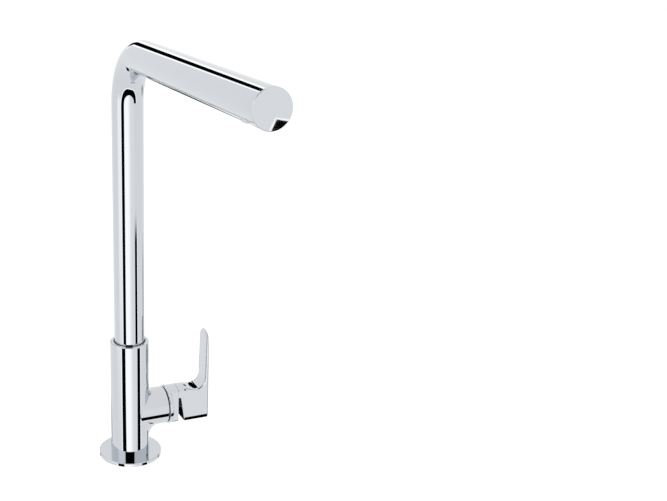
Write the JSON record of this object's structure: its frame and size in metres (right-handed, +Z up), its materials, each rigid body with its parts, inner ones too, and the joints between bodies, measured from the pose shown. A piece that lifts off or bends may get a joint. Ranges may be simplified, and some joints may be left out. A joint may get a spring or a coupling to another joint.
{
  "type": "sink mixer faucet",
  "caption": "Single-lever sink mixer: upright body on a round flange, turning angular tube spout and a side lever with an upright blade.",
  "frame": {"origin": "centre of the flange underside, on the deck", "axes": "+Z up the body, spout along -Y at rest, valve housing and lever along +X"},
  "size_m": [0.0949, 0.277, 0.3545],
  "materials": {
    "chrome": "mirror polished",
    "brass": "machined",
    "dark_rubber": "matte",
    "ivory_plastic": "matte",
    "dark_plastic": "matte",
    "white_plastic": "matte",
    "red_plastic": "matte",
    "ceramic": "polished",
    "steel": "ground"
  },
  "bodies": {
    "base": {"base_flange": "chrome", "base_seal": "dark_rubber", "body_casting": "chrome", "spout_thrust_washer": "ivory_plastic", "spout_lower_bush": "ivory_plastic", "spout_upper_bush": "dark_plastic", "spout_stop_screw": "steel", "cartridge_base": "white_plastic", "cartridge_port_seals": "dark_rubber", "fixed_disc": "ceramic", "cartridge_shell": "white_plastic", "cartridge_nut": "brass"},
    "spout": {"spout_tube": "chrome", "spout_journal": "brass", "spout_o_rings": "dark_rubber", "spout_end_cap": "chrome", "outlet_socket": "chrome", "aerator_housing": "chrome", "aerator_insert": "white_plastic", "aerator_screen": "steel", "aerator_washer": "dark_rubber"},
    "turner": {"cartridge_rotor": "red_plastic", "tilt_pin": "steel", "turning_cap": "chrome", "cap_seal": "dark_rubber"},
    "slider": {"disc_carrier": "red_plastic", "moving_disc": "ceramic"},
    "lever": {"lever_stem": "steel", "lever_handle": "chrome", "lever_grub_screw": "steel", "lever_screw_plug": "chrome", "lever_index_dot": "dark_plastic"}
  },
  "joints": [
    {"name": "spout_swivel", "type": "hinge", "parent": "base", "child": "spout", "pos_m": [0, 0, 0.07], "axis": [0, 0, 1], "range_deg": [-75, 75]},
    {"name": "temperature_turn", "type": "hinge", "parent": "base", "child": "turner", "pos_m": [0.02, 0, 0.04], "axis": [1, 0, 0], "range_deg": [-45, 45]},
    {"name": "flow_tilt", "type": "hinge", "parent": "turner", "child": "lever", "pos_m": [0.02, 0, 0.04], "axis": [0, 1, 0], "range_deg": [0, 18]},
    {"name": "disc_slide", "type": "slide", "parent": "turner", "child": "slider", "axis": [0, 0, 1], "range_m": [0, 0.00247]}
  ],
  "couplings": [
    {"joint": "disc_slide", "follows": "flow_tilt", "m_per_rad": 0.007869}
  ]
}
